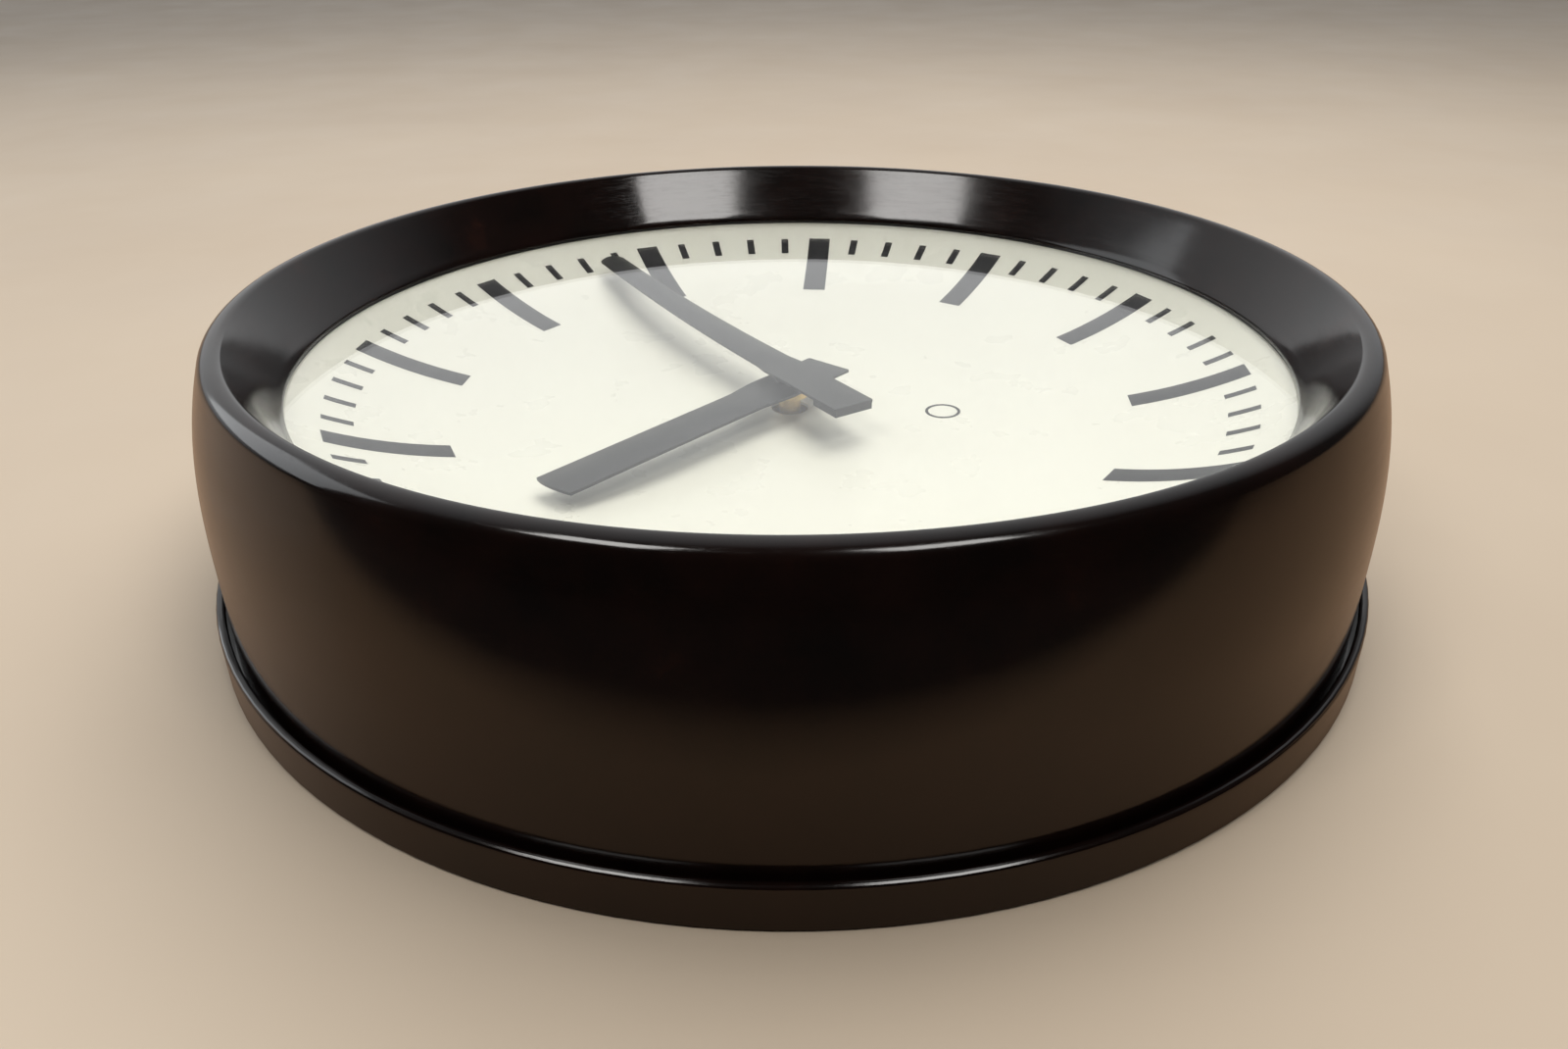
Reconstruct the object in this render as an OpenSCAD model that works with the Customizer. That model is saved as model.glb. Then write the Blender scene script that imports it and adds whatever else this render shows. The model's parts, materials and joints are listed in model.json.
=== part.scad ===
// Round wall clock lying on its back: moulded case, flat glass, dished dial, two hands
// and a small pulse-driven movement. Millimetres.
// +Z points out of the dial, +Y to twelve o'clock, +X to three o'clock.
// The origin is the centre of the foot ring, at its resting face.

/* [Case] */
// Outer radius of the base rim
base_r = 210; // [209.6:0.2:212]
// Height of the base rim
rim_h = 15; // [14:0.5:17]
// Outer radius of the case wall, inside the rim groove
case_r = 205.8; // [205.2:0.2:206]
// Height of the case crown above the wall
case_h = 101; // [100:0.5:103]
// Wall thickness of the case
wall = 4; // [3.5:0.1:4.2]
// Radius of the crown's outer round
crown_r = 6; // [5:0.1:6.5]
// Radius of the crown's inner edge
crown_in_r = 2.4; // [2:0.1:3]

/* [Glass] */
// Inner radius of the lip that frames the glass
lip_r = 176.2; // [175.8:0.2:176.6]
// Radius of the glass disc
glass_r = 184; // [183.6:0.1:184.2]
// Thickness of the glass
glass_t = 3; // [2.6:0.1:3.2]
// Height of the glass's outer face
glass_top = 77; // [76.8:0.1:77.6]

/* [Dial] */
// Height of the dial face at its centre
dial_z = 48; // [47.8:0.1:48.4]
// How far the dish would rise at the base radius
dish_rise = 51.5; // [51:0.1:51.8]
// Thickness of the dial sheet
dial_t = 1.1; // [0.8:0.1:1.2]
// Radius of the hole for the hour pipe
dial_hole_r = 7; // [6:0.5:9]
// Thickness of the printed marks
ink_t = 0.12; // [0.1:0.02:0.2]
// Inner end of the hour bars
bar_in = 126.4; // [120:0.4:135]
// Outer end of the hour bars
bar_out = 166.4; // [164:0.4:168]
// Width of the hour bars
bar_w = 10.2; // [8:0.2:12]
// Inner end of the minute ticks
tick_in = 156.2; // [154:0.2:160]
// Outer end of the minute ticks
tick_out = 166; // [164:0.5:168]
// Width of the minute ticks
tick_w = 3.4; // [2:0.2:5]

/* [Hands] */
// Clock angle of the minute hand, clockwise from twelve
minute_angle = 51.5; // [0:0.5:360]
// Clock angle of the hour hand, clockwise from twelve
hour_angle = 305.4; // [0:0.1:360]
// Length of the minute hand from the pivot
minute_len = 154; // [140:1:156]
// Length of the hour hand from the pivot
hour_len = 116; // [100:0.5:120]
// Width of the minute hand's blade at its inner end
minute_w = 14.8; // [12:0.2:16]
// Width of the minute hand's blade at its tip
minute_tip_w = 11; // [9:0.2:14]
// Width of the hour hand's blade
hour_w = 16.6; // [12:0.2:17]
// Thickness of the hands' sheet
hand_t = 1; // [0.8:0.1:1.1]

/* [Gears] */
// Module of the centre wheel, cannon pinion and minute wheel
mod_a = 0.8; // [0.79:0.005:0.81]
// Module of the intermediate wheel and rotor pinion
mod_b = 0.5; // [0.49:0.005:0.51]
// Play between meshing teeth, along the pitch circle
backlash = 0.12; // [0.1:0.01:0.16]

/* [Hidden] */

$fn = 48;
fine = 160;                             // facets of the large turned pieces
eps = 0.05;                             // overshoot of a cut

// Base
rim_t = 3;                              // thickness of the upstanding rim
foot_w = 8;                             // width of the foot ring
disc_z0 = 3;                            // underside of the back disc
disc_z1 = 6.5;                          // inner face of the back disc
spigot_r = case_r - wall - 0.3;         // ring that centres the case on the base
spigot_h = 13;
spigot_t = 2.5;
seat_z = disc_z1 + 0.1;                 // lower edge of the case wall
screw_pcr = 195.5;                      // radius on which the case screws sit
screw_angles = [90, 210, 330];
boss_r = 6;
boss_z0 = disc_z1 + 0.6;                // lower face of the screw bosses
boss_h = 45;
insert_r = 3.5;
case_screw_r = 2.1;
hang_y = 142;                           // centre of the keyhole's round end
hang_r = 6.5;
hang_slot = 2.75;                       // half the width of the keyhole's slot
hang_z0 = 1;                            // lower face of the hanger plate
pocket_x = 18;                          // box that covers the keyhole, inside the case
pocket_y = hang_y - 14;
pocket_l = 40;
pocket_h = 17;
pocket_wall = 2.5;
rivet_r = 2;
rivet_xy = [for (x = [-22, 22], y = [hang_y - 10, hang_y + 22]) [x, y]];
inlet_y = -150;                         // cable inlet
inlet_r = 4;

// Case
crown_x = case_r - 13.8;                // radius of the crown's highest circle
crown_c = [crown_x, case_h - crown_r];
crown_in_c = [crown_x, case_h - crown_in_r];
crown_a = 19;                           // where the crown arc meets the outer curve
curve_z = 42;                           // where the wall starts to lean in
lip_land = 1;
lip_edge = [lip_r, glass_top + lip_land];
lip_gap = crown_in_c - lip_edge;
bevel_a = atan2(lip_gap[1], lip_gap[0]) + asin(crown_in_r / norm(lip_gap));
void_c = [crown_x - 1, case_h - 8];     // top of the hollow behind the crown
void_r = 1.8;
pocket_r = glass_r + 0.6;               // bore that holds the glass and the dial
skirt_r = pocket_r + wall;
flange_z = dial_z + dish_rise * pow(lip_r / base_r, 4);
clip_top = flange_z - dial_t;
clip_t = 1.6;
clip_r = 192;                           // radius on which the clip screws sit
clip_count = 6;
clip_angles = [for (i = [0:clip_count - 1]) 30 + i * 360 / clip_count];
clip_in = 179;                          // inner end of a clip
clip_l = 17;
clip_w = 14;
clip_screw_r = 1.7;
clip_boss_r = 4;
clip_boss_top = 83;

// Movement
mid_y = -(60 + 12) * mod_a / 2;         // intermediate arbor, from the centre arbor
rotor_y = mid_y - (60 + 10) * mod_b / 2;
motion_x = (36 + 12) * mod_a / 2;       // minute wheel stud
mod_c = 2 * motion_x / (40 + 10);       // module of the hour wheel and minute pinion
plate_x = 36;
plate_y0 = -92;
plate_y1 = 32;
rear_z = 14;
front_z = 36;
plate_t = 2;
pillar_r = 3;
pillar_xy = [[-30, 26], [30, 26], [-30, -84], [30, -84]];
foot_xy = [[-20, 26], [20, 26], [-28, -40], [28, -40]];
foot_r = 3.5;
stud_r = 1.5;
centre_r = 1.5;                         // centre arbor
pivot_r = 1;                            // intermediate and rotor arbors
run = 0.05;                             // radial clearance of a running fit
bush_r = 3.2;
cannon_r = 2.6;
pipe_r = 4.2;
hour_z = 57.7;                          // underside of the hour hand
minute_z = 62.4;                        // underside of the minute hand
cannon_top = minute_z - 1.2;
boss_low = cannon_top - 2;              // underside of the minute hand's boss
arbor_out = 1.2;                        // how far an arbor stands out of the plates
wheel_t = 2;                            // thickness of the wheels
wheel_z = 27;                           // lower faces of the wheels and pinions
wheel_hub_z = 22;
motion_z = 39.5;
hour_wheel_z = 42.7;
hour_pinion_z = 42.2;
mid_wheel_z = 20;
mid_pinion_z = 26.5;
rotor_pinion_z = 19.5;
magnet_z0 = 25;
magnet_z1 = 31;
magnet_r = 10;
air_gap = 0.8;
stator_z = 26;
stator_t = 4;
stator_screw_xy = [[-16.2, -66], [16.2, -66]];
coil_y = -77;
coil_z = stator_z + stator_t / 2;
coil_r = 6.3;
core_h = 6;
block_y = -115;                         // terminal block
block_top = 18;
wire_r = 0.6;

// Colours
bakelite = "#231512";
cream = "#f1ebd4";
black = "#1c1c1c";
brass = "#c8a24c";
steel = "#b9bdc0";

// ---- shared shapes ----

function bezier(p, n) = [for (i = [0:n]) let (t = i / n, u = 1 - t)
    u*u*u*p[0] + 3*u*u*t*p[1] + 3*u*t*t*p[2] + t*t*t*p[3]];

function arc(c, r, a0, a1, n) =
    [for (i = [0:n]) let (a = a0 + (a1 - a0) * i / n) c + r * [cos(a), sin(a)]];

// Height of the dial face at radius r
function dish(r) = dial_z + dish_rise * pow(r / base_r, 4);

// Involute gear outline: one tooth is centred on the angle phase
pressure = 25;
function inv(a) = tan(a) * 180 / PI - a;
function tooth_half(z, m, r) =
    let (rp = z * m / 2, rb = rp * cos(pressure), a = acos(min(1, rb / max(r, rb))))
    (PI * m / 2 - backlash / 2) / 2 / rp * 180 / PI + inv(pressure) - inv(a);
function gear(z, m, tip, phase) =
    let (rp = z * m / 2, ra = rp + tip * m, rf = rp - 1.2 * m,
         rs = max(rf + 0.05, rp * cos(pressure)),
         radii = [rf, rs, (rs + ra) / 2, ra])
    [for (k = [0:z - 1]) each concat(
        [for (i = [0:3]) let (a = phase + k * 360 / z - tooth_half(z, m, radii[i]))
            radii[i] * [cos(a), sin(a)]],
        [for (i = [3:-1:0]) let (a = phase + k * 360 / z + tooth_half(z, m, radii[i]))
            radii[i] * [cos(a), sin(a)]])];

wheel_tip = 0.7;
pinion_tip = 0.8;

module tube(r_out, r_in, z0, z1) {
    translate([0, 0, z0]) difference() {
        cylinder(r = r_out, h = z1 - z0);
        translate([0, 0, -eps]) cylinder(r = r_in, h = z1 - z0 + 2 * eps);
    }
}

module rod(r, z0, z1) { translate([0, 0, z0]) cylinder(r = r, h = z1 - z0); }

module around(radius, angles) {
    for (a = angles) rotate([0, 0, a]) translate([radius, 0, 0]) children();
}

module at(list) { for (p = list) translate([p[0], p[1], 0]) children(); }

// Points at a clock angle, with the child drawn along +Y
module clock(angle) { rotate([0, 0, -angle]) children(); }

// Screw with a slotted pan head; dir is +1 when the head is above z
module screw(r, head_r, head_h, length, z, dir) {
    slot_w = 0.8;
    translate([0, 0, z]) mirror([0, 0, dir > 0 ? 0 : 1]) {
        difference() {
            cylinder(r = head_r, h = head_h);
            translate([-head_r, -slot_w / 2, head_h * 0.55]) cube([2 * head_r, slot_w, head_h]);
        }
        translate([0, 0, -length]) cylinder(r = r, h = length);
    }
}

// Wheel with crossed-out windows, as a flat outline
arm_w = 2.8;
module crossed(outline, hub, inner, outer, arms) {
    difference() {
        polygon(outline);
        circle(r = hub);
        difference() {
            circle(r = outer);
            circle(r = inner);
            for (i = [0:arms - 1]) rotate(i * 360 / arms)
                translate([0, -arm_w / 2]) square([outer + 1, arm_w]);
        }
    }
}

// ---- base ----

module base_profile() {
    top = arc([base_r - rim_t / 2, rim_h - rim_t / 2], rim_t / 2, 0, 180, 8);
    polygon(concat([[0, disc_z0], [base_r - foot_w, disc_z0], [base_r - foot_w, 0],
                    [base_r - 0.8, 0], [base_r, 0.8]], top,
                   [[base_r - rim_t, disc_z1], [0, disc_z1]]));
}

// Box over the keyhole, shrunk by inset on its sides
module pocket(inset, z0, z1) {
    translate([-pocket_x + inset, pocket_y + inset, z0])
        cube([2 * (pocket_x - inset), pocket_l - 2 * inset, z1 - z0]);
}

module back_plate() {
    color(bakelite) difference() {
        union() {
            rotate_extrude($fn = fine) base_profile();
            difference() {
                tube(spigot_r, spigot_r - spigot_t, disc_z1 - eps, spigot_h, $fn = fine);
                around(screw_pcr, screw_angles) rod(boss_r + 0.8, disc_z1, spigot_h + 1);
            }
            pocket(0, disc_z1 - eps, pocket_h - eps);
        }
        pocket(pocket_wall, disc_z0 - eps, pocket_h - pocket_wall - eps);
        around(screw_pcr, screw_angles) rod(case_screw_r + 0.2, 0, disc_z1 + 1);
        translate([0, inlet_y, 0]) rod(2 * inlet_r, 0, disc_z1 + 1);
        at(rivet_xy) rod(rivet_r, 0, disc_z1 + 1);
    }
}

module hanger_plate() {
    color(steel) difference() {
        translate([-27, hang_y - 15, hang_z0]) cube([54, 42, disc_z0 - hang_z0]);
        translate([0, hang_y, 0]) rod(hang_r, 0, disc_z0 + 1);
        translate([-hang_slot, hang_y, 0]) cube([2 * hang_slot, 16, disc_z0 + 1]);
        translate([0, hang_y + 16, 0]) rod(hang_slot, 0, disc_z0 + 1);
        at(rivet_xy) rod(rivet_r, 0, disc_z0 + 1);
    }
}

module hanger_rivets() {
    color(steel) at(rivet_xy) {
        rod(rivet_r, hang_z0, disc_z1);
        rod(3.4, hang_z0 - 0.7, hang_z0);
        rod(3.4, disc_z1, disc_z1 + 0.9);
    }
}

module cable_grommet() {
    r = 2 * inlet_r;
    color("#2a2a2a") translate([0, inlet_y, 0]) rotate_extrude()
        polygon([[inlet_r, 1], [r + 2.2, 1], [r + 2.8, 1.6], [r + 2.8, disc_z0], [r, disc_z0],
                 [r, disc_z1], [r + 2.4, disc_z1], [r + 2.4, 7.6], [r + 1.6, 8.4], [inlet_r, 8.4]]);
}

// ---- case ----

module case_profile() {
    join = crown_c + crown_r * [cos(crown_a), sin(crown_a)];
    outer = bezier([[case_r, curve_z], [case_r, curve_z + 26],
                    join - 16 * [-sin(crown_a), cos(crown_a)], join], 12);
    crown = concat(arc(crown_c, crown_r, crown_a, 90, 7),
                   arc(crown_in_c, crown_in_r, 100, bevel_a + 90, 5));
    void = arc(void_c, void_r, 180, 0, 6);
    polygon(concat([[case_r - wall, seat_z], [case_r, seat_z]], outer, crown,
                   [lip_edge, [lip_r, glass_top], [pocket_r, glass_top],
                    [pocket_r, clip_top], [skirt_r, clip_top], [skirt_r, void[0][1] - 2]],
                   void,
                   [[case_r - wall - 3, 76], [case_r - wall, 48]]));
}

module case_shell() {
    color(bakelite) difference() {
        union() {
            rotate_extrude($fn = fine) case_profile();
            around(screw_pcr, screw_angles) {
                rod(boss_r, boss_z0, boss_h);
                translate([0, -boss_r / 2, boss_z0 + 1])
                    cube([case_r - wall / 2 - screw_pcr, boss_r, boss_h - boss_z0 - 2]);
            }
            around(clip_r, clip_angles) {
                rod(clip_boss_r, clip_top, clip_boss_top);
                translate([-5, -3, clip_top]) cube([5, 6, clip_boss_top - clip_top]);
            }
        }
        around(screw_pcr, screw_angles) rod(insert_r, 0, 19);
        around(clip_r, clip_angles) rod(clip_screw_r + 0.1, 0, clip_boss_top - 1);
    }
}

module case_inserts() {
    color(brass) around(screw_pcr, screw_angles) tube(insert_r, case_screw_r + 0.05, boss_z0, 18);
}

module case_screws() {
    color(steel) around(screw_pcr, screw_angles) screw(case_screw_r, 4.2, 2.2, 14.5, disc_z0, -1);
}

module front_glass() {
    color("#cfe0e0", 0.35) translate([0, 0, glass_top - glass_t])
        cylinder(r = glass_r, h = glass_t, $fn = fine);
}

module glass_seal() {
    color("#2b2b2b") tube(glass_r, lip_r + 0.8, flange_z, glass_top - glass_t, $fn = fine);
}

module retaining_clips() {
    color(steel) for (a = clip_angles) rotate([0, 0, a]) difference() {
        translate([clip_in, -clip_w / 2, clip_top - clip_t]) cube([clip_l, clip_w, clip_t]);
        translate([clip_r, 0, 0]) rod(clip_screw_r + 0.1, 0, clip_top + 1);
    }
}

module clip_screws() {
    color(steel) around(clip_r, clip_angles) screw(clip_screw_r, 3.2, 2, 11, clip_top - clip_t, -1);
}

// ---- dial ----

dish_steps = 40;
dish_pitch = (lip_r - dial_hole_r) / dish_steps;
function dish_line(i0, i1, lift) =
    [for (i = [i0:i1]) let (r = dial_hole_r + i * dish_pitch) [r, dish(r) + lift]];
function step_at(r) = (r - dial_hole_r) / dish_pitch;
function backwards(list) = [for (i = [len(list) - 1:-1:0]) list[i]];

module dial() {
    color(cream) rotate_extrude($fn = fine)
        polygon(concat(dish_line(0, dish_steps, 0), [[glass_r, flange_z], [glass_r, clip_top]],
                       backwards(dish_line(0, dish_steps, -dial_t))));
}

// Sheet of ink that covers two radii, on the dish's own steps
module ink(r0, r1) {
    i0 = floor(step_at(r0) - 0.1);
    i1 = ceil(step_at(r1) + 0.1);
    rotate_extrude($fn = fine)
        polygon(concat(dish_line(i0, i1, 0), backwards(dish_line(i0, i1, ink_t))));
}

mark_y = 58;                            // centre of the plain ring mark, towards six
mark_r = 6.6;
mark_line = 1.1;
module dial_marks() {
    color(black) {
        intersection() {
            ink(bar_in, bar_out);
            for (h = [0:11]) clock(30 * h)
                translate([-bar_w / 2, bar_in, dial_z]) cube([bar_w, bar_out - bar_in, 30]);
        }
        intersection() {
            ink(tick_in, tick_out);
            for (m = [0:59]) if (m % 5 != 0) clock(6 * m)
                translate([-tick_w / 2, tick_in, dial_z]) cube([tick_w, tick_out - tick_in, 30]);
        }
        intersection() {
            ink(mark_y - mark_r, mark_y + mark_r);
            translate([0, -mark_y, 0]) tube(mark_r, mark_r - mark_line, dial_z, dial_z + 3);
        }
    }
}

module dial_feet() {
    color(brass) for (p = foot_xy) translate([p[0], p[1], 0]) {
        rod(stud_r, front_z - 3.6, front_z + plate_t);
        rod(foot_r, front_z + plate_t, dish(norm(p) - foot_r) - dial_t);
    }
}

module dial_nuts() {
    color(brass) at(foot_xy) translate([0, 0, front_z - 2.4]) difference() {
        cylinder(r = 3.2, h = 2.4, $fn = 6);
        translate([0, 0, -eps]) cylinder(r = stud_r, h = 3, $fn = 48);
    }
}

// ---- movement frame ----

module plate(z, extra) {
    color(brass) translate([0, 0, z]) difference() {
        translate([-plate_x, plate_y0, 0]) cube([2 * plate_x, plate_y1 - plate_y0, plate_t]);
        for (y = [0, mid_y, rotor_y]) translate([0, y, 0]) rod(bush_r, -1, plate_t + 1);
        at(pillar_xy) rod(1.3, -1, plate_t + 1);
        translate([0, 0, -z]) extra_holes(extra);
    }
}

module extra_holes(front) {
    if (front) {
        at(foot_xy) rod(stud_r, front_z - 1, front_z + plate_t + 1);
        translate([motion_x, 0, 0]) rod(stud_r, front_z - 1, front_z + plate_t + 1);
    } else {
        at(stator_screw_xy) rod(1.5, rear_z - 1, rear_z + plate_t + 1);
    }
}

module front_plate() { plate(front_z, true); }

module rear_plate() { plate(rear_z, false); }

module pillars() {
    color(brass) at(pillar_xy) tube(pillar_r, 1.2, rear_z + plate_t, front_z);
}

module pillar_screws() {
    color(steel) at(pillar_xy) {
        screw(1.2, 2.4, 1.4, 7, front_z + plate_t, 1);
        screw(1.2, 2.4, 1.4, 7, rear_z, -1);
    }
}

module plate_bushes() {
    color("#d9b25c") for (z = [rear_z, front_z]) {
        tube(bush_r, centre_r + run, z, z + plate_t);
        for (y = [mid_y, rotor_y]) translate([0, y, 0]) tube(bush_r, pivot_r + run, z, z + plate_t);
    }
}

module minute_wheel_stud() {
    color(steel) translate([motion_x, 0, 0]) {
        rod(stud_r, front_z, 45.9);
        rod(3, front_z + plate_t, 39.2);
    }
}

// ---- motor ----

arm_x0 = 12.4;
arm_x1 = 20;
module stator_yoke() {
    shoe_in = magnet_r + air_gap;
    shoe_out = shoe_in + 5;
    color("#8a8d90") translate([0, 0, stator_z]) difference() {
        union() {
            translate([0, rotor_y, 0]) cylinder(r = shoe_out, h = stator_t);
            for (x = [-arm_x1, arm_x0]) translate([x, coil_y - core_h / 2, 0])
                cube([arm_x1 - arm_x0, rotor_y - coil_y + core_h / 2, stator_t]);
            translate([-arm_x0 - 1, coil_y - core_h / 2, 0])
                cube([2 * arm_x0 + 2, core_h, stator_t]);
        }
        translate([0, rotor_y, -eps]) cylinder(r = shoe_in, h = stator_t + 1);
        translate([-7.5, rotor_y - 19, -eps]) cube([15, 40, stator_t + 1]);
        at(stator_screw_xy) rod(1.6, -1, stator_t + 1);
    }
}

module stator_spacers() {
    color(brass) at(stator_screw_xy) tube(3.2, 1.6, rear_z + plate_t, stator_z);
}

module stator_screws() {
    color(steel) at(stator_screw_xy) screw(1.5, 3, 1.8, 15.5, stator_z + stator_t, 1);
}

module along_x(x0, x1) {
    translate([x0, coil_y, coil_z]) rotate([0, 90, 0]) linear_extrude(x1 - x0) children();
}

bobbin_x = 12;
module bobbin_core() { square([stator_t + 2.4, core_h + 2.4], center = true); }

module coil_bobbin() {
    cheek = 1.2;
    color("#d8cfb4") difference() {
        union() {
            along_x(-bobbin_x, bobbin_x) bobbin_core();
            for (x = [-bobbin_x, bobbin_x - cheek]) along_x(x, x + cheek) circle(r = coil_r + 0.5);
        }
        along_x(-bobbin_x - 1, bobbin_x + 1) square([stator_t + 0.2, core_h + 0.2], center = true);
    }
}

module coil_winding() {
    color("#9c4a1e") along_x(-bobbin_x + 1.2, bobbin_x - 1.2) difference() {
        circle(r = coil_r);
        bobbin_core();
    }
}

// ---- terminals and leads ----

terminal_x = 8;
module terminal_block() {
    color("#3a2a20") difference() {
        translate([-16, block_y - 8, disc_z1]) cube([32, 16, block_top - disc_z1]);
        for (x = [-terminal_x, terminal_x]) {
            translate([x, block_y - 9, 12]) rotate([-90, 0, 0]) cylinder(r = 1.8, h = 18);
            translate([x, block_y, 0]) rod(1.5, 12, block_top + 1);
        }
        translate([-0.8, block_y - 9, block_top - 5]) cube([1.6, 18, 6]);
    }
}

module terminal_screws() {
    color(brass) for (x = [-terminal_x, terminal_x]) translate([x, block_y, 0])
        screw(1.5, 2.8, 1.6, block_top - 12.7, block_top, 1);
}

// Tube swept along a path that stays in a plane of constant x
lead_yz = [[-112, 12], [-107, 12], [-102, 12.6], [-98.5, 14.5], [-96.4, 18], [-94.8, 22],
           [-92, 25.6], [-88, 27.6], [-85.5, 28], [-83.4, 28]];
lead_sides = 8;
function heading(p, i) = let (d = p[min(i + 1, len(p) - 1)] - p[max(i - 1, 0)]) d / norm(d);
module lead(x) {
    n = len(lead_yz);
    points = [for (i = [0:n - 1]) let (h = heading(lead_yz, i)) for (k = [0:lead_sides - 1])
        let (a = k * 360 / lead_sides, side = wire_r * cos(a), up = wire_r * sin(a))
        [x + side, lead_yz[i][0] - h[1] * up, lead_yz[i][1] + h[0] * up]];
    skin = [for (i = [0:n - 2], k = [0:lead_sides - 1])
        let (j = (k + 1) % lead_sides, a = i * lead_sides, b = a + lead_sides)
        [a + k, b + k, b + j, a + j]];
    ends = [[for (k = [0:lead_sides - 1]) k],
            [for (k = [lead_sides - 1:-1:0]) (n - 1) * lead_sides + k]];
    polyhedron(points, concat(skin, ends));
}

module lead_wires() { color("#a32a22") for (x = [-terminal_x, terminal_x]) lead(x); }

// ---- minute train ----

module centre_arbor() { color(steel) rod(centre_r, rear_z - arbor_out, minute_z - 0.1); }

module centre_wheel() {
    color(brass) {
        translate([0, 0, wheel_z]) linear_extrude(wheel_t)
            crossed(gear(60, mod_a, wheel_tip, -90), centre_r, 6, 20, 5);
        tube(4, centre_r, wheel_hub_z, wheel_z);
    }
}

module cannon_pinion() {
    color(steel) {
        translate([0, 0, motion_z]) linear_extrude(2.5) difference() {
            polygon(gear(12, mod_a, pinion_tip, 0));
            circle(r = centre_r);
        }
        tube(cannon_r, centre_r, motion_z + 2.5, cannon_top);
    }
}

// Flat outline of a hand: a square-cut tail that narrows into the blade, whose tip
// bulges a little. flare is where the narrowing starts and ends.
tip_bulge = 2;
function half_width(s, flare, w) =
    s < flare[0] ? w[0] / 2 :
    s > flare[1] ? (w[1] + (w[2] - w[1]) * (s - flare[1]) / (flare[2] - flare[1])) / 2 :
    (w[0] + (w[1] - w[0]) * (1 - cos(180 * (s - flare[0]) / (flare[1] - flare[0]))) / 2) / 2;
module hand_outline(tail, length, flare, w) {
    stops = [flare[0], flare[1], length];
    steps = concat([-tail], [for (i = [0:10]) flare[0] + (flare[1] - flare[0]) * i / 10],
                   [length - tip_bulge]);
    tip = [for (i = [1:7]) let (t = 1 - i / 4) [t * w[2] / 2, length - tip_bulge * t * t]];
    polygon(concat([for (s = steps) [half_width(s, stops, w), s]], tip,
                   [for (s = backwards(steps)) [-half_width(s, stops, w), s]]));
}

minute_tail = 41;
minute_tail_w = 16.6;
minute_flat = 15;                       // the hand is flat up to here, then rises
minute_rise = 7;
weight_w = 15.6;                        // block under the minute hand's tail
weight_l = 14;
weight_h = 2.3;
function minute_lift(s) = minute_rise * pow(max(0, s - minute_flat) / (minute_len - minute_flat), 2);
module minute_hand() {
    steps = concat([-minute_tail - 1], [for (i = [0:14])
        minute_flat + (minute_len + 1 - minute_flat) * i / 14]);
    color(black) clock(minute_angle) intersection() {
        linear_extrude(glass_top)
            hand_outline(minute_tail, minute_len, [4, 13], [minute_tail_w, minute_w, minute_tip_w]);
        rotate([90, 0, 90]) translate([0, 0, -15]) linear_extrude(30)
            polygon(concat([for (s = steps) [s, minute_z + minute_lift(s)]],
                           [for (s = backwards(steps)) [s, minute_z + hand_t + minute_lift(s)]]));
    }
}

module minute_hand_boss() {
    color(black) {
        tube(5.5, cannon_r, boss_low, cannon_top);
        tube(5.5, centre_r, cannon_top, minute_z);
    }
}

module minute_counterweight() {
    color(black) clock(minute_angle)
        translate([-weight_w / 2, -minute_tail, minute_z - weight_h])
            cube([weight_w, weight_l, weight_h]);
}

// ---- hour train ----

module hour_wheel() {
    color(brass) {
        translate([0, 0, hour_wheel_z]) linear_extrude(wheel_t)
            crossed(gear(40, mod_c, wheel_tip, 4.5), cannon_r + run, 6, 12.5, 4);
        tube(pipe_r, cannon_r + run, hour_wheel_z + wheel_t, hour_z + hand_t);
    }
}

module hour_hand() {
    color(black) clock(hour_angle) translate([0, 0, hour_z]) linear_extrude(hand_t) difference() {
        hand_outline(23.6, hour_len, [8, 28], [20, hour_w, hour_w]);
        circle(r = pipe_r);
    }
}

module hour_hand_boss() { color(brass) tube(7.5, pipe_r, hour_z - 4, hour_z); }

module minute_wheel() {
    color(brass) translate([motion_x, 0, motion_z]) linear_extrude(wheel_t)
        crossed(gear(36, mod_a, wheel_tip, 185), cannon_r, 5, 11.5, 4);
}

module minute_pinion() {
    color(steel) translate([motion_x, 0, 0]) {
        translate([0, 0, hour_pinion_z]) linear_extrude(3.3) difference() {
            polygon(gear(10, mod_c, pinion_tip, 180));
            circle(r = stud_r + run);
        }
        tube(cannon_r, stud_r + run, motion_z, hour_pinion_z);
    }
}

// ---- reduction train ----

module train_arbor(y) {
    color(steel) translate([0, y, 0])
        rod(pivot_r, rear_z - arbor_out, front_z + plate_t + arbor_out);
}

module intermediate_arbor() { train_arbor(mid_y); }

module intermediate_wheel() {
    color(brass) translate([0, mid_y, mid_wheel_z]) linear_extrude(wheel_t)
        crossed(gear(60, mod_b, wheel_tip, -90), 2.4, 4.5, 12, 4);
}

module intermediate_pinion() {
    color(steel) translate([0, mid_y, 0]) {
        translate([0, 0, mid_pinion_z]) linear_extrude(3) difference() {
            polygon(gear(12, mod_a, pinion_tip, 105));
            circle(r = pivot_r);
        }
        tube(2.4, pivot_r, mid_wheel_z, mid_pinion_z);
    }
}

module rotor_arbor() { train_arbor(rotor_y); }

module rotor_magnet() {
    color("#4a4c50") translate([0, rotor_y, 0]) tube(magnet_r, pivot_r, magnet_z0, magnet_z1);
}

module rotor_pinion() {
    color(steel) translate([0, rotor_y, rotor_pinion_z]) linear_extrude(3) difference() {
        polygon(gear(10, mod_b, pinion_tip, 108));
        circle(r = pivot_r);
    }
}

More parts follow.
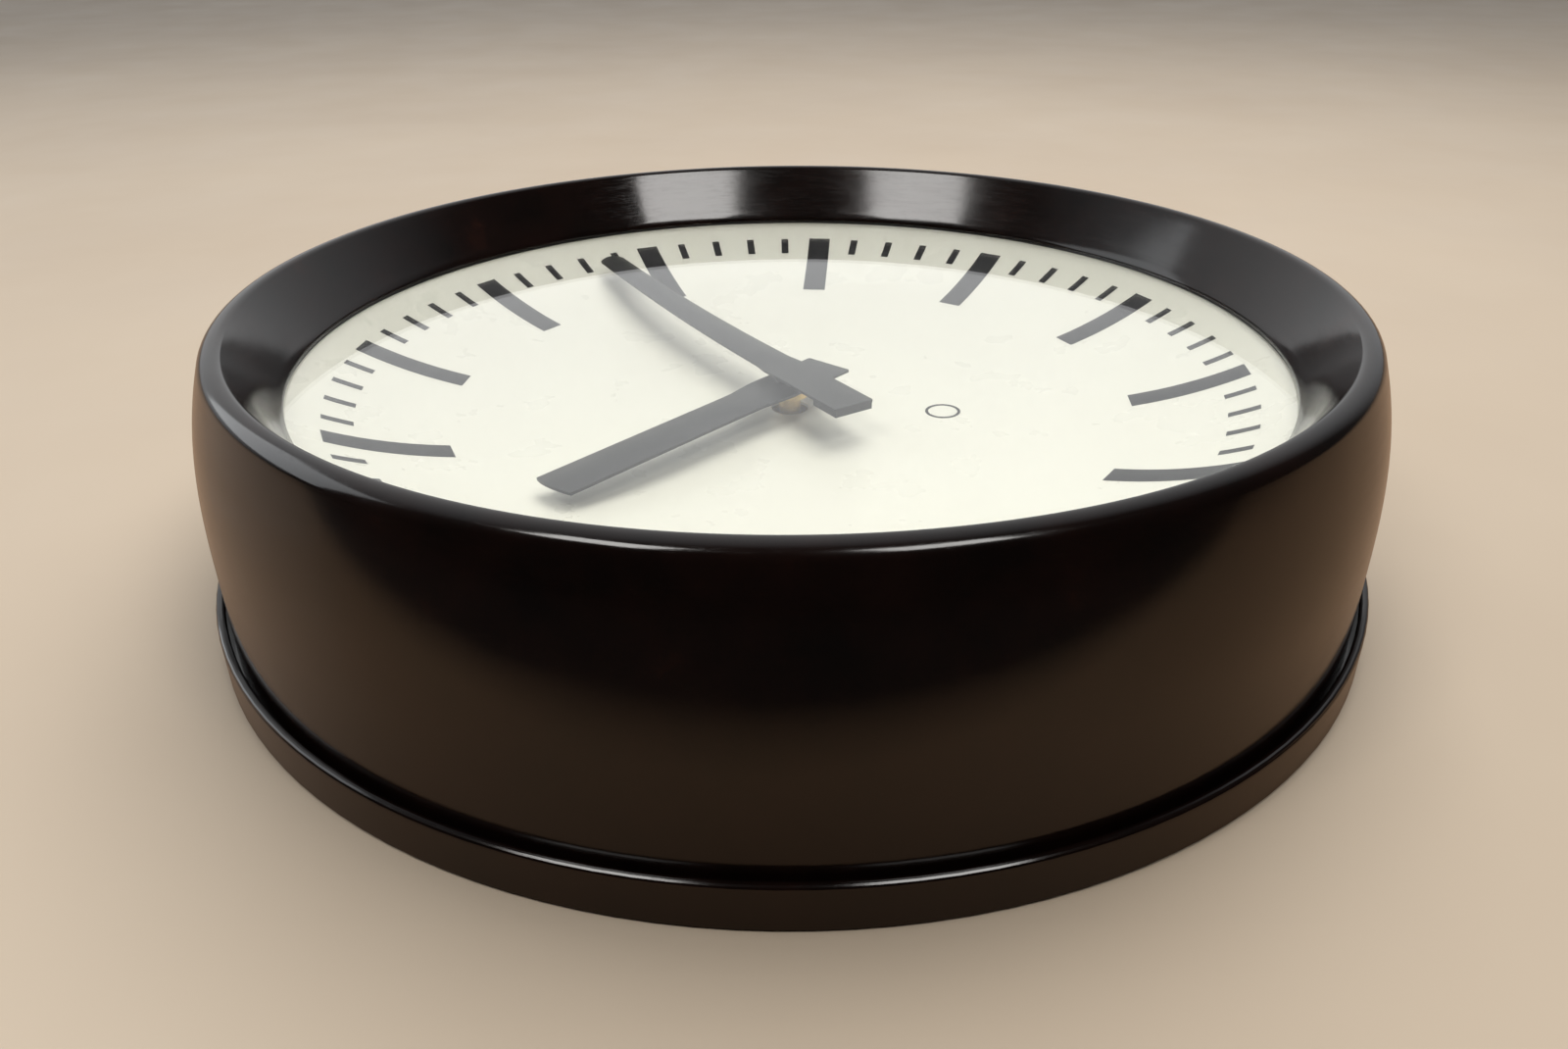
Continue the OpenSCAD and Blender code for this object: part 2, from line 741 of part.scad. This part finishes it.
back_plate();
hanger_plate();
hanger_rivets();
cable_grommet();
case_shell();
case_inserts();
case_screws();
front_glass();
glass_seal();
retaining_clips();
clip_screws();
dial();
dial_marks();
dial_feet();
dial_nuts();
front_plate();
rear_plate();
pillars();
pillar_screws();
plate_bushes();
stator_yoke();
stator_spacers();
stator_screws();
coil_bobbin();
coil_winding();
minute_wheel_stud();
terminal_block();
terminal_screws();
lead_wires();
centre_arbor();
centre_wheel();
cannon_pinion();
minute_hand();
minute_hand_boss();
minute_counterweight();
hour_wheel();
hour_hand();
hour_hand_boss();
minute_wheel();
minute_pinion();
intermediate_arbor();
intermediate_wheel();
intermediate_pinion();
rotor_arbor();
rotor_magnet();
rotor_pinion();
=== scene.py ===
"""Looks for a round wall clock that lies on its back: moulded case, flat glass, dished dial, two hands."""
import json
import math

import bmesh
import bpy
from mathutils import Matrix, Vector


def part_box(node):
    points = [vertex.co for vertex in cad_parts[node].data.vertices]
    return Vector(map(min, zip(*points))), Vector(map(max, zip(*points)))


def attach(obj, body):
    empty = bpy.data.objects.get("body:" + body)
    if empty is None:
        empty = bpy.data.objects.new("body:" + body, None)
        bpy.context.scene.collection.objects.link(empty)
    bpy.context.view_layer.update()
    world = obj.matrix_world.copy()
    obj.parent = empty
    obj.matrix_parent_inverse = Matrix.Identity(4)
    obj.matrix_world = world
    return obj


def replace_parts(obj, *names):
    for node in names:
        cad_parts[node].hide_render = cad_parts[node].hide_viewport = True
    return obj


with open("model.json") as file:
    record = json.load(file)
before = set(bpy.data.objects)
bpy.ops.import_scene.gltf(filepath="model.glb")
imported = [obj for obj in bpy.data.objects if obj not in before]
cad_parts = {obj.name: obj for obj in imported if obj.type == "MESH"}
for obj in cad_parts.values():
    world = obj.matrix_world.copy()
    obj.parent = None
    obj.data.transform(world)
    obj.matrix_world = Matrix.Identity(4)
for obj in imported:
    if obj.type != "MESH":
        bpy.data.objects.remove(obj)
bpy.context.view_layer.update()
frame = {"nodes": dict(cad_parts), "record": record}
nodes = frame["nodes"]
MM = 0.001


def low(node):
    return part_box(node)[0]


def high(node):
    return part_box(node)[1]


# ---- sizes that the frame gives ----

BASE_R = high("back_plate").x
CASE_R = high("case_shell").x
CASE_TOP = high("case_shell").z
CASE_LOW = low("case_shell").z
GLASS_R = high("front_glass").x
GLASS_TOP = high("front_glass").z
GLASS_LOW = low("front_glass").z
LIP_OVER_GLASS = 7.8 * MM
LIP_R = GLASS_R - LIP_OVER_GLASS
DIAL_LOW = low("dial").z
DIAL_T = 1.1 * MM
DIAL_HOLE_R = 7 * MM
DISH_RISE = 51.5 * MM
WALL = 4 * MM
SHEET = 1 * MM


# ---- node material helpers ----

class Mat:
    """A material with a Principled shader, and short calls for the nodes that feed it."""

    def __init__(self, name, **values):
        self.mat = bpy.data.materials.new(name)
        self.mat.use_nodes = True
        self.tree = self.mat.node_tree
        self.shader = self.tree.nodes["Principled BSDF"]
        for key, value in values.items():
            self.shader.inputs[key.replace("_", " ")].default_value = value
        self.coord = self.node("ShaderNodeTexCoord").outputs["Object"]

    def node(self, kind, **settings):
        made = self.tree.nodes.new(kind)
        for key, value in settings.items():
            setattr(made, key, value)
        return made

    def link(self, source, target):
        self.tree.links.new(source, target)

    def stretched(self, scale):
        """The object's own coordinates, scaled along each axis."""
        mapping = self.node("ShaderNodeMapping")
        mapping.inputs["Scale"].default_value = scale
        self.link(self.coord, mapping.inputs["Vector"])
        return mapping.outputs["Vector"]

    def noise(self, scale, detail=4.0, rough=0.55, source=None):
        made = self.node("ShaderNodeTexNoise")
        made.inputs["Scale"].default_value = scale
        made.inputs["Detail"].default_value = detail
        made.inputs["Roughness"].default_value = rough
        self.link(source or self.coord, made.inputs["Vector"])
        return made.outputs["Fac"]

    def cells(self, scale):
        made = self.node("ShaderNodeTexVoronoi")
        made.inputs["Scale"].default_value = scale
        self.link(self.coord, made.inputs["Vector"])
        return made.outputs["Distance"]

    def ramp(self, source, stops):
        made = self.node("ShaderNodeValToRGB")
        ramp = made.color_ramp
        while len(ramp.elements) < len(stops):
            ramp.elements.new(0.5)
        for element, (place, colour) in zip(ramp.elements, stops):
            element.position = place
            value = colour if isinstance(colour, tuple) else (colour,) * 3
            element.color = (*value, 1.0)
        self.link(source, made.inputs["Fac"])
        return made.outputs["Color"]

    def mix(self, share, a, b, blend="MIX"):
        made = self.node("ShaderNodeMix", data_type="RGBA", blend_type=blend)
        for socket, value in ((made.inputs[0], share), (made.inputs[6], a), (made.inputs[7], b)):
            if isinstance(value, (int, float)):
                socket.default_value = value
            elif isinstance(value, tuple):
                socket.default_value = (*value, 1.0)
            else:
                self.link(value, socket)
        return made.outputs[2]

    def bump(self, source, strength, distance, under=None):
        made = self.node("ShaderNodeBump")
        made.inputs["Strength"].default_value = strength
        made.inputs["Distance"].default_value = distance
        self.link(source, made.inputs["Height"])
        if under is not None:
            self.link(under, made.inputs["Normal"])
        return made.outputs["Normal"]

    def feed(self, **sources):
        for key, source in sources.items():
            self.link(source, self.shader.inputs[key.replace("_", " ")])
        return self.mat


def bakelite(name):
    """Polished dark brown moulding: faint red mottling, dust specks, hairline scratches."""
    m = Mat(name, Specular_IOR_Level=0.5, IOR=1.55)
    tones = [(0.35, (0.0035, 0.002, 0.0017)), (0.62, (0.0075, 0.0032, 0.0025)),
             (0.8, (0.02, 0.0065, 0.004))]
    mottle = m.ramp(m.noise(34, 6, 0.65), tones)
    flecks = m.ramp(m.cells(420), [(0.0, 1.0), (0.06, 0.0)])
    rare = m.ramp(m.noise(60, 2), [(0.6, 0.0), (0.68, 1.0)])
    dust = m.mix(1.0, flecks, rare, "MULTIPLY")
    colour = m.mix(dust, mottle, (0.09, 0.075, 0.06))
    hair = m.noise(26, 8, 0.7, m.stretched((1, 1, 22)))
    scratches = m.ramp(hair, [(0.485, 0.0), (0.5, 1.0), (0.515, 0.0)])
    handled = m.ramp(m.noise(9, 5, 0.6), [(0.3, 0.07), (0.7, 0.17)])
    rough = m.mix(m.mix(0.5, scratches, (0.0, 0.0, 0.0)), handled, (0.3, 0.3, 0.3))
    fine = m.bump(m.noise(300, 3), 0.03, 0.0003)
    wavy = m.bump(m.noise(16, 2), 0.12, 0.002, fine)
    return m.feed(Base_Color=colour, Roughness=rough, Normal=wavy)


def enamel(name):
    """Stoved cream enamel, slightly yellowed in soft clouds."""
    m = Mat(name, Specular_IOR_Level=0.45)
    clouds = m.ramp(m.noise(7, 5, 0.6), [(0.3, (0.86, 0.83, 0.715)), (0.7, (0.875, 0.85, 0.74))])
    rough = m.ramp(m.noise(40, 4), [(0.3, 0.26), (0.7, 0.32)])
    return m.feed(Base_Color=clouds, Roughness=rough, Normal=m.bump(m.noise(120, 2), 0.03, 0.0003))


def paint(name, dark, light, rough, bump, shine):
    """Sprayed paint or ink: fine tone changes and an orange-peel surface."""
    m = Mat(name, Specular_IOR_Level=shine)
    colour = m.ramp(m.noise(90, 5, 0.6), [(0.3, dark), (0.75, light)])
    sheen = m.ramp(m.noise(60, 3), [(0.3, rough[0]), (0.7, rough[1])])
    return m.feed(Base_Color=colour, Roughness=sheen, Normal=m.bump(m.noise(420, 2), bump, 0.0002))


def metal(name, dark, light, rough, grain=(1, 1, 40)):
    """Brushed or turned metal: streaks along one direction and a light tarnish."""
    m = Mat(name, Metallic=1.0)
    streaks = m.noise(120, 6, 0.6, m.stretched(grain))
    tarnish = m.ramp(m.noise(70, 4, 0.6), [(0.4, 0.0), (0.75, 0.6)])
    colour = m.mix(tarnish, light, dark)
    sheen = m.ramp(streaks, [(0.3, rough[0]), (0.7, rough[1])])
    return m.feed(Base_Color=colour, Roughness=sheen, Normal=m.bump(streaks, 0.12, 0.0003))


def moulded(name, dark, light, rough):
    """Matt rubber, resin or sleeve: soft mottling and a fine moulded grain."""
    m = Mat(name)
    colour = m.ramp(m.noise(110, 5, 0.6), [(0.3, dark), (0.7, light)])
    sheen = m.ramp(m.noise(60, 3), [(0.3, rough[0]), (0.7, rough[1])])
    return m.feed(Base_Color=colour, Roughness=sheen, Normal=m.bump(m.noise(900, 2), 0.2, 0.0002))


def wound(name):
    """Enamelled wire wound round the X axis."""
    m = Mat(name, Metallic=0.6)
    wave = m.node("ShaderNodeTexWave", bands_direction="X")
    wave.inputs["Scale"].default_value = 450
    m.link(m.coord, wave.inputs["Vector"])
    turns = wave.outputs["Fac"]
    # Painted shade and highlight: the copper is darkest in the grooves between turns, where the bump is low,
    # and lightest on the turns' crowns.
    colour = m.ramp(turns, [(0.0, (0.16, 0.04, 0.012)), (0.8, (0.5, 0.17, 0.06))])
    sheen = m.ramp(m.noise(90), [(0.3, 0.25), (0.7, 0.4)])
    return m.feed(Base_Color=colour, Roughness=sheen, Normal=m.bump(turns, 0.5, 0.0003))


def window_glass(name):
    """Flat glass that mirrors by its own Fresnel. Shadow and diffuse rays go straight through it."""
    m = Mat(name, Transmission_Weight=1.0, IOR=1.5, Roughness=0.0)
    m.feed(Base_Color=m.ramp(m.noise(11, 3), [(0.3, (0.98, 0.992, 0.987)), (0.7, (0.988, 0.996, 0.992))]))
    path = m.node("ShaderNodeLightPath")
    either = m.node("ShaderNodeMath", operation="MAXIMUM")
    m.link(path.outputs["Is Shadow Ray"], either.inputs[0])
    m.link(path.outputs["Is Diffuse Ray"], either.inputs[1])
    clear = m.node("ShaderNodeBsdfTransparent")
    clear.inputs["Color"].default_value = (0.96, 0.97, 0.965, 1.0)
    both = m.node("ShaderNodeMixShader")
    m.link(either.outputs[0], both.inputs[0])
    m.link(m.shader.outputs[0], both.inputs[1])
    m.link(clear.outputs[0], both.inputs[2])
    m.link(both.outputs[0], m.tree.nodes["Material Output"].inputs["Surface"])
    return m.mat


MATERIALS = {
    "moulded_case": bakelite("bakelite_case"),
    "moulded_base": bakelite("bakelite_base"),
    "cream_enamel": enamel("cream_enamel"),
    "dial_ink": paint("dial_ink", (0.006, 0.006, 0.007), (0.014, 0.014, 0.015), (0.42, 0.52), 0.015, 0.12),
    "black_hand": paint("black_paint", (0.008, 0.008, 0.009), (0.02, 0.02, 0.02), (0.3, 0.4), 0.02, 0.3),
    "clear_glass": window_glass("window_glass"),
    "black_rubber": moulded("black_rubber", (0.012, 0.012, 0.012), (0.03, 0.029, 0.028), (0.6, 0.85)),
    "brass": metal("satin_brass", (0.42, 0.26, 0.09), (0.76, 0.56, 0.25), (0.24, 0.4)),
    "bush_brass": metal("polished_brass", (0.5, 0.32, 0.12), (0.84, 0.64, 0.3), (0.14, 0.26)),
    "zinc_steel": metal("zinc_steel", (0.36, 0.37, 0.38), (0.68, 0.69, 0.7), (0.26, 0.44)),
    "stator_steel": metal("stator_steel", (0.14, 0.14, 0.15), (0.36, 0.37, 0.38), (0.35, 0.5), (1, 1, 260)),
    "bobbin_resin": moulded("bobbin_resin", (0.56, 0.48, 0.32), (0.7, 0.62, 0.46), (0.4, 0.55)),
    "copper_wire": wound("copper_winding"),
    "terminal_resin": moulded("terminal_resin", (0.03, 0.016, 0.01), (0.07, 0.035, 0.02), (0.25, 0.4)),
    "lead_sleeve": moulded("lead_sleeve", (0.28, 0.02, 0.015), (0.42, 0.04, 0.03), (0.45, 0.6)),
    "magnet": moulded("ground_magnet", (0.035, 0.035, 0.04), (0.07, 0.07, 0.075), (0.3, 0.45)),
}


def dress_cad_nodes():
    """Every CAD node takes the material of its slot in the record."""
    for part in frame["record"]["subparts"]:
        mesh = nodes[part["node"]].data
        mesh.materials.clear()
        mesh.materials.append(MATERIALS[part["material_slot"]])


# ---- mesh helpers ----

def smooth_by_angle(mesh, sharp):
    """Smooth shading, with edges kept sharp where faces turn by more than the given angle."""
    work = bmesh.new()
    work.from_mesh(mesh)
    bmesh.ops.remove_doubles(work, verts=work.verts, dist=1e-7)
    for face in work.faces:
        face.smooth = True
    for edge in work.edges:
        edge.smooth = len(edge.link_faces) == 2 and edge.calc_face_angle(0) < math.radians(sharp)
    work.to_mesh(mesh)
    work.free()


def finish_piece(name, verts, faces, body, slot, sharp=35.0):
    """A smooth-shaded object with sharp edges where faces turn by more than the given angle."""
    mesh = bpy.data.meshes.new(name)
    mesh.from_pydata([tuple(v) for v in verts], [], faces)
    work = bmesh.new()
    work.from_mesh(mesh)
    bmesh.ops.remove_doubles(work, verts=work.verts, dist=1e-7)
    bmesh.ops.recalc_face_normals(work, faces=work.faces)
    work.to_mesh(mesh)
    work.free()
    smooth_by_angle(mesh, sharp)
    mesh.materials.append(MATERIALS[slot])
    piece = bpy.data.objects.new(name, mesh)
    bpy.context.scene.collection.objects.link(piece)
    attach(piece, body)
    return piece


def lathe(name, outline, body, slot, segments=288, sharp=35.0):
    """Turns a closed outline of (radius, height) points about the Z axis."""
    count = len(outline)
    verts = []
    for i in range(segments):
        a = 2 * math.pi * i / segments
        verts += [(r * math.cos(a), r * math.sin(a), z) for r, z in outline]
    faces = []
    for i in range(segments):
        j = (i + 1) % segments
        for k in range(count):
            n = (k + 1) % count
            if outline[k][0] == 0 and outline[n][0] == 0:
                continue
            faces.append((i * count + k, j * count + k, j * count + n, i * count + n))
    return finish_piece(name, verts, faces, body, slot, sharp)


def arc(cx, cz, r, a0, a1, n):
    """Points of a round stretch from angle a0 to a1, in degrees."""
    angles = [math.radians(a0 + (a1 - a0) * i / n) for i in range(n + 1)]
    return [(cx + r * math.cos(a), cz + r * math.sin(a)) for a in angles]


def curve(points, n):
    """Points along the Bezier curve of four control points."""
    made = []
    for i in range(n + 1):
        t = i / n
        u = 1 - t
        weights = (u ** 3, 3 * u * u * t, 3 * u * t * t, t ** 3)
        made.append(tuple(sum(w * p[k] for w, p in zip(weights, points)) for k in (0, 1)))
    return made


def tidy_line(points, least=1e-6):
    """Drops points that repeat the one before."""
    kept = [points[0]]
    for p in points[1:]:
        if math.dist(p, kept[-1]) > least:
            kept.append(p)
    return kept


# ---- case, base, glass and dial ----

CROWN_R = 6 * MM
EDGE_R = 2.4 * MM
CROWN_A = 19.0
CROWN_IN = 13.8 * MM
CROWN = (CASE_R - CROWN_IN, CASE_TOP - CROWN_R)
EDGE = (CROWN[0], CASE_TOP - EDGE_R)
VOID = (CROWN[0] - 1 * MM, CASE_TOP - 8 * MM, 1.8 * MM)


def case_piece():
    """The moulded case as one fine turned shell, closed inside and out."""
    a = math.radians(CROWN_A)
    join = (CROWN[0] + CROWN_R * math.cos(a), CROWN[1] + CROWN_R * math.sin(a))
    lean_z, low_pull, high_pull = 42 * MM, 26 * MM, 16 * MM
    outer = curve([(CASE_R, lean_z), (CASE_R, lean_z + low_pull),
                   (join[0] + high_pull * math.sin(a), join[1] - high_pull * math.cos(a)), join], 40)
    lip_lift = 1 * MM
    lip = (LIP_R, GLASS_TOP + lip_lift)
    dx, dz = EDGE[0] - lip[0], EDGE[1] - lip[1]
    bevel = math.degrees(math.atan2(dz, dx) + math.asin(EDGE_R / math.hypot(dx, dz)))
    crown = arc(*CROWN, CROWN_R, CROWN_A, 90, 20) + arc(*EDGE, EDGE_R, 90, bevel + 90, 12)
    steps = 8
    slope = [(crown[-1][0] + (lip[0] - crown[-1][0]) * i / steps,
              crown[-1][1] + (lip[1] - crown[-1][1]) * i / steps) for i in range(1, steps)]
    void = arc(*VOID, 180, 0, 8)
    void_drop, glass_play, seal_t, soft = 2 * MM, 0.6 * MM, 1.7 * MM, 0.5 * MM
    pocket = GLASS_R + glass_play
    skirt = pocket + WALL
    clip_top = GLASS_LOW - seal_t
    foot = [(CASE_R - WALL, CASE_LOW), (CASE_R - soft, CASE_LOW), (CASE_R, CASE_LOW + soft)]
    lip_line = [(LIP_R + 0.3 * MM, lip[1] + 0.6 * MM), (LIP_R, lip[1] - 0.2 * MM), (LIP_R, GLASS_TOP)]
    inside = [(pocket, GLASS_TOP), (pocket, clip_top), (skirt, clip_top),
              (skirt, void[0][1] - void_drop)]
    bend_in, bend_top, bend_low = 3 * MM, 76 * MM, 48 * MM
    back = [(CASE_R - WALL - bend_in, bend_top), (CASE_R - WALL, bend_low)]
    outline = tidy_line(foot + outer + crown + slope + lip_line + inside + void + back)
    piece = lathe("moulded_case_shell", outline, "root", "moulded_case", 320, 30)
    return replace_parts(piece, "case_shell")


def dish(r):
    """The height of the dial's face at a radius."""
    return DIAL_LOW + DIAL_T + DISH_RISE * (r / BASE_R) ** 4


def dial_piece():
    """The enamelled dish, with its flat rim under the lip and a hole for the arbors."""
    steps = 90
    radii = [DIAL_HOLE_R + (LIP_R - DIAL_HOLE_R) * i / steps for i in range(steps + 1)]
    top = [(r, dish(r)) for r in radii]
    rim = [(GLASS_R, dish(LIP_R)), (GLASS_R, dish(LIP_R) - DIAL_T)]
    under = [(r, z - DIAL_T) for r, z in reversed(top)]
    piece = lathe("dished_dial", top + rim + under, "root", "cream_enamel", 288, 25)
    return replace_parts(piece, "dial")


def glass_piece():
    """The pane with ground edges."""
    edge = 0.4 * MM
    outline = [(0, GLASS_LOW), (GLASS_R - edge, GLASS_LOW), (GLASS_R, GLASS_LOW + edge),
               (GLASS_R, GLASS_TOP - edge), (GLASS_R - edge, GLASS_TOP), (0, GLASS_TOP)]
    piece = lathe("front_pane", outline, "root", "clear_glass", 256, 20)
    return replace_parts(piece, "front_glass")


# ---- hands ----

def eased(t):
    """A soft step from 0 to 1."""
    t = min(1.0, max(0.0, t))
    return (1 - math.cos(math.pi * t)) / 2


def hand(name, node, body, angle, tail, length, flare, widths, crown, lift):
    """A pressed hand: a flat tail that narrows into a slightly domed blade with a bulging tip."""
    across, rows = 14, 130
    bulge, edge, dome_run = 2 * MM, 0.3 * MM, 10 * MM
    base_z = low(node).z
    reach = length - bulge
    stations = [-tail, -tail + edge]
    stations += [-tail + (reach + tail) * i / rows for i in range(1, rows)] + [reach]
    a = math.radians(angle)
    along = Vector((math.sin(a), math.cos(a), 0))
    side = Vector((math.cos(a), -math.sin(a), 0))

    def half_width(s):
        if s < flare[1]:
            t = eased((s - flare[0]) / (flare[1] - flare[0]))
            return (widths[0] + (widths[1] - widths[0]) * t) / 2
        return (widths[1] + (widths[2] - widths[1]) * (s - flare[1]) / (length - flare[1])) / 2

    verts, faces = [], []
    for i, s in enumerate(stations + [length]):
        tip = i == len(stations)
        half = half_width(min(s, reach)) - (edge if s == -tail else 0.0)
        dome = crown * eased((s - flare[0]) / (flare[1] - flare[0] + dome_run))
        top = []
        for k in range(across + 1):
            t = 2 * k / across - 1
            out = s - bulge * t * t if tip else s
            top.append((out, half * t, lift(min(out, length)) + dome * (1 - t * t)))
        ring = [(o, x, z + SHEET) for o, x, z in top] + list(reversed(top))
        verts += [along * o + side * x + Vector((0, 0, base_z + z)) for o, x, z in ring]
    n = 2 * (across + 1)
    count = len(stations) + 1
    for i in range(count - 1):
        for k in range(n):
            j = (k + 1) % n
            faces.append((i * n + k, (i + 1) * n + k, (i + 1) * n + j, i * n + j))
    for first in (0, (count - 1) * n):
        for k in range(across):
            quad = (first + k, first + k + 1, first + n - 2 - k, first + n - 1 - k)
            faces.append(quad if first == 0 else tuple(reversed(quad)))
    piece = finish_piece(name, verts, faces, body, "black_hand", 40)
    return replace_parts(piece, node)


MINUTE_ANGLE = 51.5
HOUR_ANGLE = 305.4


def hands():
    """The minute hand rises beyond its flat middle to follow the dish. The hour hand stays flat."""
    flat = 15 * MM
    minute_length = 154 * MM
    rise = 6.4 * MM

    def lift(s):
        return rise * (max(0.0, s - flat) / (minute_length - flat)) ** 2

    hand("minute_blade", "minute_hand", "minute", MINUTE_ANGLE, tail=41 * MM, length=minute_length,
         flare=(4 * MM, 13 * MM), widths=(16.6 * MM, 14.8 * MM, 11 * MM), crown=0.7 * MM, lift=lift)
    hand("hour_blade", "hour_hand", "hour", HOUR_ANGLE, tail=23.6 * MM, length=116 * MM,
         flare=(8 * MM, 28 * MM), widths=(20 * MM, 16.6 * MM, 16.6 * MM), crown=0.8 * MM,
         lift=lambda s: 0.0)


# ---- stage, light and camera ----

def floor():
    """A plain pale floor. In mirrored rays its colour is a painted reflection: browner, and dark on the
    camera's side of the clock.
    """
    size = 6.0
    dark_reflection_fade_start, dark_reflection_full_from = -0.26, -0.34
    mesh = bpy.data.meshes.new("floor")
    corners = [(-size, -size, 0), (size, -size, 0), (size, size, 0), (-size, size, 0)]
    mesh.from_pydata(corners, [], [(0, 1, 2, 3)])
    m = Mat("pale_floor")
    colour = m.ramp(m.noise(3, 4), [(0.3, (0.54, 0.44, 0.335)), (0.7, (0.58, 0.48, 0.37))])
    sheen = m.ramp(m.noise(9, 3), [(0.3, 0.5), (0.7, 0.62)])
    split = m.node("ShaderNodeSeparateXYZ")
    m.link(m.coord, split.inputs[0])
    near = m.node("ShaderNodeMapRange")
    m.link(split.outputs["X"], near.inputs["Value"])
    for key, value in (("From Min", dark_reflection_fade_start), ("From Max", dark_reflection_full_from), ("To Min", 0.0), ("To Max", 1.0)):
        near.inputs[key].default_value = value
    # Painted reflection: glossy rays that meet the floor on the camera's side see it near black, standing in
    # for a dark room.
    mirrored = m.node("ShaderNodeMath", operation="MULTIPLY")
    m.link(near.outputs[0], mirrored.inputs[0])
    path = m.node("ShaderNodeLightPath")
    m.link(path.outputs["Is Glossy Ray"], mirrored.inputs[1])
    # Painted reflection: glossy rays see the floor brown, standing in for a mirrored brown table.
    colour = m.mix(path.outputs["Is Glossy Ray"], colour, (0.34, 0.21, 0.12))
    colour = m.mix(mirrored.outputs[0], colour, (0.012, 0.01, 0.009))
    mesh.materials.append(m.feed(Base_Color=colour, Roughness=sheen))
    ground = bpy.data.objects.new("floor", mesh)
    bpy.context.scene.collection.objects.link(ground)


def studio_world():
    """A soft room: bright beyond the clock and overhead, dim on the near side."""
    from_x, from_y, from_z, base = 0.55, 0.16, 0.3, 0.12
    world = bpy.data.worlds.new("studio")
    world.use_nodes = True
    tree = world.node_tree
    back = tree.nodes["Background"]
    coord = tree.nodes.new("ShaderNodeTexCoord")
    split = tree.nodes.new("ShaderNodeSeparateXYZ")
    tree.links.new(coord.outputs["Generated"], split.inputs[0])

    def scaled(source, factor, add):
        made = tree.nodes.new("ShaderNodeMath")
        made.operation = "MULTIPLY_ADD"
        tree.links.new(source, made.inputs[0])
        made.inputs[1].default_value = factor
        if isinstance(add, float):
            made.inputs[2].default_value = add
        else:
            tree.links.new(add, made.inputs[2])
        return made.outputs[0]

    level = scaled(split.outputs["Z"], from_z, base)
    level = scaled(split.outputs["Y"], from_y, level)
    level = scaled(split.outputs["X"], from_x, level)
    ramp = tree.nodes.new("ShaderNodeValToRGB")
    stops = [(0.0, (0.012, 0.011, 0.01)), (0.3, (0.035, 0.034, 0.033)), (0.5, (0.42, 0.43, 0.44)),
             (0.75, (0.78, 0.785, 0.79))]
    while len(ramp.color_ramp.elements) < len(stops):
        ramp.color_ramp.elements.new(0.5)
    for element, (place, colour) in zip(ramp.color_ramp.elements, stops):
        element.position = place
        element.color = (*colour, 1.0)
    tree.links.new(level, ramp.inputs["Fac"])
    tree.links.new(ramp.outputs["Color"], back.inputs["Color"])
    back.inputs["Strength"].default_value = 1.0
    bpy.context.scene.world = world


def softbox(name, place, target, size, power, tint=(1.0, 0.98, 0.95), mirrored=True):
    """A soft lamp. One that isn't mirrored lights the clock without a glare in its glass."""
    light = bpy.data.lights.new(name, "AREA")
    light.shape = "RECTANGLE"
    light.size, light.size_y = size
    light.energy = power
    light.color = tint
    lamp = bpy.data.objects.new(name, light)
    lamp.location = place
    lamp.rotation_euler = (Vector(target) - Vector(place)).to_track_quat("-Z", "Y").to_euler()
    lamp.visible_glossy = mirrored
    bpy.context.scene.collection.objects.link(lamp)


def camera():
    """A wide lens 0.47 m from the clock's middle, on its nine o'clock side."""
    place = Vector((-0.4117, -0.0378, 0.2250))
    ahead = Vector((0.8777, 0.0861, -0.4713)).normalized()
    roll = math.radians(-0.42)
    level = ahead.cross(Vector((0, 0, 1))).normalized()
    up = level.cross(ahead)
    right = level * math.cos(roll) + up * math.sin(roll)
    up = right.cross(ahead)
    data = bpy.data.cameras.new("camera")
    data.sensor_width = 36.0
    data.lens = 26.83
    data.shift_y = -0.0072
    data.clip_start = 0.01
    eye = bpy.data.objects.new("camera", data)
    turn = Matrix((right, up, -ahead)).transposed().to_4x4()
    eye.matrix_world = Matrix.Translation(place) @ turn
    bpy.context.scene.collection.objects.link(eye)
    bpy.context.scene.camera = eye


def lights():
    """Overhead and window light, and two lamps that shine in the crown and in the bevel."""
    softbox("overhead", (0.55, -0.25, 1.6), (0, 0, 0), (1.3, 1.3), 22, mirrored=False)
    softbox("left_window", (0.2, 1.6, 0.7), (0, 0, 0.05), (1.2, 0.9), 5, (0.95, 0.98, 1.0))
    reach, height = 1.05, 1.54
    for name, turn in (("lamp_left", 140.0), ("lamp_right", 221.0)):
        a = math.radians(turn)
        place = (reach * math.cos(a), reach * math.sin(a), height)
        softbox(name, place, (0, 0, 0.08), (0.6, 0.42), 7.2)


camera()
dress_cad_nodes()
case_piece()
dial_piece()
glass_piece()
hands()
floor()
studio_world()
lights()
bpy.context.scene.view_settings.view_transform = "Standard"
